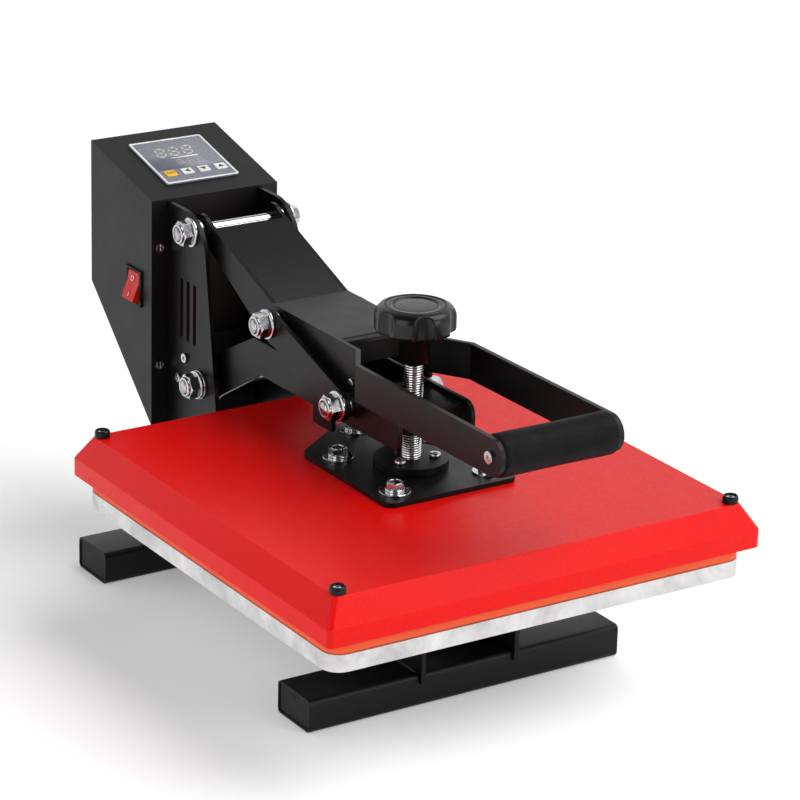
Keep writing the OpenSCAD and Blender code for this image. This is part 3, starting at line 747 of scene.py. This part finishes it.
dress(BLACK, 0.0005, "mounting_plate", "thrust_flange")
dress(PLATEN, 0.0006, "heat_platen", "bridge_plate")
dress(WOOL, 0.0006, "insulation_pad")
dress(MICA, 0.0005, "heating_element")
dress(ZINC, 0.0002, "temperature_probe")


def socket_head(radius, bottom, height, flats, depth, steps=72):
    """Round screw head with a hexagon socket."""
    edge = radius * 0.16

    def socket(z):
        ring = []
        for i in range(steps):
            t = math.tau * i / steps
            r = flats / 2 / math.cos((t + math.pi / 6) % (math.pi / 3) - math.pi / 6)
            ring.append(Vector((r * math.cos(t), r * math.sin(t), z)))
        return ring

    bm = bmesh.new()
    top = bottom + height
    ring_grid(bm, [circle(radius * 0.9, bottom, steps), circle(radius, bottom + edge, steps),
                   circle(radius, top - edge, steps), circle(radius - edge * 0.4, top - edge * 0.3, steps),
                   circle(radius - edge, top, steps), socket(top), socket(top - depth)])
    return bm


# Bolts that hold the mounting plate
plate_top = high("mounting_plate").z
PLATE_WASHER_R = 0.0125
BOLT_ROWS = 0.084
bolts_low, bolts_high = low("plate_bolts"), high("plate_bolts")
bolt_x = bolts_high.x - PLATE_WASHER_R
bolt_front = bolts_low.y + PLATE_WASHER_R
bolt_places = [(-bolt_x, bolt_front), (bolt_x, bolt_front), (-bolt_x, bolt_front + BOLT_ROWS),
               (bolt_x, bolt_front + BOLT_ROWS), (0.0, bolts_high.y - PLATE_WASHER_R)]
for i, (x, y) in enumerate(bolt_places):
    turn = at(x, y, plate_top) @ Matrix.Rotation(0.5 + 1.3 * i, 4, "Z")
    head = merged((washer(0.004, PLATE_WASHER_R, 0.0, 0.0016), IDENTITY),
                  (washer(0.004, 0.0078, 0.0016, 0.0022), IDENTITY),
                  (hex_head(0.0038, 0.013, 0.0053, 0.0018), IDENTITY),
                  (lathe([(0.004, -0.0105), (0.004, 0.004)], 32), IDENTITY))
    new_object(f"plate_bolt_{i}", head, ZINC, "head", 0.00015, turn,
               replaces=["plate_bolts"] if i == 0 else [])

flange_top = high("thrust_flange").z
SCREW_RING = 0.019
for i in range(3):
    angle = math.radians(90 + 120 * i)
    place = at(SCREW.x + SCREW_RING * math.cos(angle), SCREW.y + SCREW_RING * math.sin(angle), flange_top)
    new_object(f"flange_screw_{i}", socket_head(0.0046, 0.0, 0.003, 0.004, 0.0016), ZINC, "head",
               0.0001, place, replaces=["flange_screws"] if i == 0 else [])

# Black cups with screws at the corners of the cover
cup_low, cup_high = low("cover_cups"), high("cover_cups")
CUP_R = 0.0063
corner = cup_high.x - CUP_R
for i, (sx, sy) in enumerate(((-1, -1), (1, -1), (1, 1), (-1, 1))):
    place = at(SCREW.x + sx * corner, SCREW.y + sy * corner, cup_low.z)
    cup = lathe([(0.0026, 0.0), (0.0061, 0.0), (CUP_R, 0.0004), (CUP_R, 0.0042), (0.0060, 0.0053),
                 (0.0054, 0.0059), (0.0050, 0.0060), (0.0047, 0.0056), (0.0046, 0.0016), (0.0026, 0.0015)],
                48, loop=True)
    new_object(f"corner_cup_{i}", cup, KNOB, "head", 0.0, place,
               replaces=["cover_cups"] if i == 0 else [])
    new_object(f"corner_screw_{i}", socket_head(0.0041, 0.0016, 0.0032, 0.003, 0.0018), ZINC, "head",
               0.0001, place, replaces=["cover_screws"] if i == 0 else [])


# ---------------------------------------------------------------- pressure screw and knob

rod_low = low("pressure_screw").z
COLLAR = 0.0033
ROD_R = 0.0079
THREAD_DEPTH = 0.0012
THREAD_PITCH = 0.002
knob_low = low("pressure_knob").z
rod = threaded_rod(ROD_R, THREAD_DEPTH, THREAD_PITCH, rod_low + COLLAR, knob_low + 0.002, 48)
collar = lathe([(0.0108, rod_low), (0.011, rod_low + 0.0004), (0.011, rod_low + COLLAR),
                (0.007, rod_low + COLLAR)])
new_object("threaded_screw", merged((rod, IDENTITY), (collar, IDENTITY)), THREAD, "screw", 0.0,
           at(SCREW.x, SCREW.y, 0), replaces=["pressure_screw"])

KNOB_R = (high("pressure_knob") - low("pressure_knob")).x / 2
NOTCHES = 6
NOTCH_TURN = math.radians(9.9)
NOTCH_R = 0.0133
NOTCH_AT = KNOB_R + 0.0093
rim = knob_low + 0.026


def notch_depth(angle, radius):
    """Radius left by the round finger notches."""
    step = math.tau / NOTCHES
    off = (angle - NOTCH_TURN + step / 2) % step - step / 2
    across = NOTCH_AT * math.sin(off)
    if abs(across) >= NOTCH_R:
        return radius
    return min(radius, NOTCH_AT * math.cos(off) - math.sqrt(NOTCH_R ** 2 - across ** 2))


knob_profile = [(0.0100, knob_low), (0.0118, knob_low), (0.0122, knob_low + 0.0006), (0.0122, rim - 0.0040),
                (0.0135, rim - 0.0018), (0.0160, rim - 0.0002), (0.0240, rim), (0.0305, rim + 0.0003),
                (0.0315, rim + 0.0008), (KNOB_R - 0.0003, rim + 0.0016), (KNOB_R, rim + 0.0026)]
knob_profile += [(KNOB_R, rim + 0.0026 + 0.0094 * i / 14) for i in range(1, 15)]
knob_profile += [(KNOB_R - 0.0065 * (1 - math.cos(t)), rim + 0.0120 + 0.0085 * math.sin(t))
                 for t in (math.pi / 2 * i / 12 for i in range(1, 13))]
knob_profile += [(0.0254, rim + 0.0209), (0.0249, rim + 0.0209), (0.0246, rim + 0.0205), (0.0243, rim + 0.0195),
                 (0.0238, rim + 0.0195), (0.0235, rim + 0.0203), (0.0230, rim + 0.0206), (0.0184, rim + 0.0206),
                 (0.0181, rim + 0.0203), (0.0178, rim + 0.0195), (0.0174, rim + 0.0195), (0.0171, rim + 0.0201),
                 (0.0165, rim + 0.0202), (0.0060, rim + 0.0202), (0.0010, rim + 0.0202)]
KNOB_STEPS = 240
knob_rings = []
for radius, z in knob_profile:
    turned = []
    for i in range(KNOB_STEPS):
        t = math.tau * i / KNOB_STEPS
        r = notch_depth(t, radius)
        turned.append(Vector((r * math.cos(t), r * math.sin(t), z)))
    knob_rings.append(turned)
knob = bmesh.new()
ring_grid(knob, knob_rings)
new_object("knob", knob, hub_and_knob(rim), "screw", 0.0, at(SCREW.x, SCREW.y, 0),
           replaces=["pressure_knob"])


# ---------------------------------------------------------------- control box

dress(BOX_BLACK, 0.0006, "box_shell", "box_front_panel")
dress(TRIM, 0.0004, "switch_housing")
dress(ROCKER, 0.0004, "switch_rocker")
dress(BOARD, 0.0002, "controller_board")
dress(RELAY, 0.0006, "solid_state_relay")
dress(YELLOW, 0.0005, "set_key")
dress(WHITE, 0.0005, "left_key", "down_key", "up_key")
dress(FILM, 0.0003, "display_panel")

slope_n = -Vector(JOINTS["set_press"]["axis"]).normalized()
slope_x = Vector((1, 0, 0))
slope_y = slope_n.cross(slope_x)
panel_mid = centre("display_panel") + slope_n * 0.00075
SLOPE = framed(slope_x, slope_y, slope_n, panel_mid)
PANEL_W = (high("display_panel") - low("display_panel")).x
PANEL_D = 0.0724
INK_H = 0.00014
INK_SUNK = 0.00002


def on_panel(outline, z=0.0):
    return plate_mesh(outline, INK_H), SLOPE @ at(0, 0, z)


def frame_outline(name, width, depth, radius, band, material):
    outer = rounded_rect(width, depth, radius)
    inner = rounded_rect(width - 2 * band, depth - 2 * band, max(radius - band, 0.0004))
    bm = bmesh.new()
    rings = [[Vector((x, y, z)) for x, y in ring] for ring, z in
             ((outer, 0.0), (outer, INK_H), (inner, INK_H), (inner, 0.0))]
    ring_grid(bm, rings, closed_ends=False, loop=True)
    new_object(name, bm, material, "base", 0.0, SLOPE)


FILM_H = 0.00008
film_w, film_d = PANEL_W - 0.0044, 0.0484
film_outline = [(x, y + 0.0097) for x, y in rounded_rect(film_w, film_d, 0.0006)]
new_object("display_film", plate_mesh(film_outline, FILM_H), FILM, "base", 0.0, SLOPE,
           replaces=["display_window"])
frame_outline("film_border", PANEL_W - 0.0006, PANEL_D - 0.0006, 0.0018, 0.0021, BORDER)

SLANT = math.tan(math.radians(12))


def segment_digit(x, y, width, height, thick):
    """Seven bars of one digit, slanted, as outlines."""
    bars = []
    gap = thick * 0.16
    for bx, by, horizontal in ((0, height / 2, True), (0, 0, True), (0, -height / 2, True),
                               (-width / 2, height / 4, False), (width / 2, height / 4, False),
                               (-width / 2, -height / 4, False), (width / 2, -height / 4, False)):
        length = (width if horizontal else height / 2) - gap * 2
        h, t = length / 2, thick / 2
        points = [(-h, 0), (-h + t, -t), (h - t, -t), (h, 0), (h - t, t), (-h + t, t)]
        if not horizontal:
            points = [(-b, a) for a, b in points]
        placed = [(px + bx, py + by) for px, py in points]
        bars.append([(x + px + py * SLANT, y + py) for px, py in placed])
    return bars


def printed(name, outlines, material, body="base", z=0.0):
    new_object(name, merged(*[on_panel(o, z) for o in outlines]), material, body)


for i, x in enumerate((-0.0156, -0.0025, 0.0107)):
    printed(f"large_digit_{i}", segment_digit(x, 0.0141, 0.0077, 0.0130, 0.0027), SEGMENT)
for i, x in enumerate((-0.0057, 0.0031, 0.0121)):
    printed(f"small_digit_{i}", segment_digit(x, -0.0038, 0.0054, 0.0072, 0.0017), DIM_SEGMENT)
printed("digit_line", [[(-0.0107, 0.0029), (0.0160, 0.0029), (0.0163, 0.0045), (-0.0104, 0.0045)]], BORDER)


KEY_HALF_HEIGHT = 0.0021


def key_top(node):
    """Middle of a key's top face in the panel's own coordinates."""
    offset = centre(node) - panel_mid
    return offset.dot(slope_x), offset.dot(slope_y), offset.dot(slope_n) + KEY_HALF_HEIGHT


for node, body, turn in (("left_key", "left_button", 90), ("down_key", "down_button", 180),
                         ("up_key", "up_button", 0)):
    kx, ky, kz = key_top(node)
    arrow = []
    c, s = math.cos(math.radians(turn)), math.sin(math.radians(turn))
    for px, py in ((-0.0029, -0.0018), (0.0029, -0.0018), (0.0, 0.0024)):
        arrow.append((kx + px * c - py * s, ky + px * s + py * c))
    printed(node + "_arrow", [arrow], INK, body, kz - INK_SUNK)
kx, ky, kz = key_top("set_key")
bars = [[(kx + a - 0.0009, ky - 0.0015), (kx + a + 0.0009, ky - 0.0015), (kx + a + 0.0009, ky + 0.0015),
         (kx + a - 0.0009, ky + 0.0015)] for a in (-0.0027, 0.0, 0.0027)]
set_ink = plastic("set_ink", (0.45, 0.2, 0.01), 0.4)
printed("set_key_mark", bars, set_ink, "set_button", kz - INK_SUNK)

# Marks on the rocker's face
rock_axis = pivot("switch_rock")
face_top = Vector((rock_axis.x - 0.0015, rock_axis.y, rock_axis.z + 0.0126))
face_bottom = Vector((rock_axis.x - 0.0085, rock_axis.y, rock_axis.z - 0.0110))
face_up = (face_top - face_bottom).normalized()
face_side = Vector((0, -1, 0))
face_n = face_side.cross(face_up)
if face_n.x > 0:
    face_n = -face_n


def on_rocker(share):
    """Place on the rocker's face, at this share of the way up it."""
    mid = face_bottom + (face_top - face_bottom) * share
    return framed(face_side, face_up, face_n, mid)


MARK_H = 0.0002
off_mark = washer(0.0016, 0.0025, 0.0, MARK_H)
new_object("rocker_ring", off_mark, BORDER, "rocker", 0.0, on_rocker(0.77))
on_mark = plate_mesh([(-0.0004, -0.0021), (0.0004, -0.0021), (0.0004, 0.0021), (-0.0004, 0.0021)], MARK_H)
new_object("rocker_bar", on_mark, BORDER, "rocker", 0.0, on_rocker(0.2))


# ---------------------------------------------------------------- floor, light and camera

floor_mesh = bmesh.new()
FLOOR = 6.0
floor_verts = [floor_mesh.verts.new((x, y, 0)) for x, y in
               ((-FLOOR, -FLOOR), (FLOOR, -FLOOR), (FLOOR, FLOOR), (-FLOOR, FLOOR))]
floor_mesh.faces.new(floor_verts)
floor_data = bpy.data.meshes.new("floor")
floor_mesh.to_mesh(floor_data)
floor = bpy.data.objects.new("floor", floor_data)
bpy.context.scene.collection.objects.link(floor)
pale = Surface("floor_pale", 0.7, specular=0.2)
pale.colour(pale.noise(2, 2), (0.90, 0.90, 0.905), (0.92, 0.92, 0.925))
pale.shader.inputs["Emission Color"].default_value = (1.0, 1.0, 1.0, 1.0)
pale.shader.inputs["Emission Strength"].default_value = 0.20
floor_data.materials.append(pale.mat)

world = bpy.data.worlds.new("studio")
bpy.context.scene.world = world
world.use_nodes = True
sky = world.node_tree
backdrop = sky.nodes["Background"]
backdrop.inputs["Strength"].default_value = 0.98

# White walls, a grey ceiling, and a dark opening above the viewer
DARK_SIDE = Vector((-0.35, -0.60, 0.72)).normalized()
facing = sky.nodes.new("ShaderNodeVectorMath")
facing.operation = "DOT_PRODUCT"
facing.inputs[1].default_value = DARK_SIDE
direction = sky.nodes.new("ShaderNodeTexCoord").outputs["Generated"]
sky.links.new(direction, facing.inputs[0])
fade = mapped(sky, facing.outputs["Value"], 0.30, 0.80, 1.0, 0.12, smooth=True)
axes = sky.nodes.new("ShaderNodeSeparateXYZ")
sky.links.new(direction, axes.inputs["Vector"])
ceiling = mapped(sky, axes.outputs["Z"], 0.42, 0.80, 1.0, 0.28, smooth=True)
both = sky.nodes.new("ShaderNodeMath")
both.operation = "MULTIPLY"
sky.links.new(fade, both.inputs[0])
sky.links.new(ceiling, both.inputs[1])
sky.links.new(both.outputs["Value"], backdrop.inputs["Color"])

sun_data = bpy.data.lights.new("key", "SUN")
sun_data.energy = 2.1
sun_data.angle = math.radians(50)
sun = bpy.data.objects.new("key", sun_data)
sun.rotation_euler = Vector((0.50, -0.25, 0.82)).to_track_quat("Z", "Y").to_euler()
bpy.context.scene.collection.objects.link(sun)

AIM = Vector((SCREW.x, SCREW.y, 0.16))


def softbox(name, direction, distance, size, power):
    light = bpy.data.lights.new(name, "AREA")
    light.shape = "RECTANGLE"
    light.size, light.size_y = size
    light.energy = power
    obj = bpy.data.objects.new(name, light)
    bpy.context.scene.collection.objects.link(obj)
    spot = AIM + Vector(direction).normalized() * distance
    obj.location = spot
    obj.rotation_euler = (spot - AIM).to_track_quat("Z", "Y").to_euler()


softbox("left_box", (-1.0, -0.35, 0.45), 1.7, (0.9, 1.3), 7)
softbox("front_box", (0.35, -1.0, 0.35), 1.9, (1.2, 0.9), 9)

AZIMUTH, ELEVATION, ROLL = math.radians(-33.35), math.radians(20.36), math.radians(1.62)
back = Vector((math.sin(AZIMUTH) * math.cos(ELEVATION), -math.cos(AZIMUTH) * math.cos(ELEVATION),
               math.sin(ELEVATION)))
right = Vector((math.cos(AZIMUTH), math.sin(AZIMUTH), 0))
up = back.cross(right)
rolled_right = right * math.cos(ROLL) + up * math.sin(ROLL)
rolled_up = up * math.cos(ROLL) - right * math.sin(ROLL)
CAMERA_AIM = SCREW + Vector((-0.0125, -0.0006, 0.2207))
CAMERA_DISTANCE = 2.7062
camera_data = bpy.data.cameras.new("camera")
camera_data.lens = 155.14
camera_data.sensor_width = 36.0
camera = bpy.data.objects.new("camera", camera_data)
bpy.context.scene.collection.objects.link(camera)
eye = CAMERA_AIM + back * CAMERA_DISTANCE
camera.matrix_world = framed(rolled_right, rolled_up, back, eye)
bpy.context.scene.camera = camera
bpy.context.scene.view_settings.view_transform = "Standard"
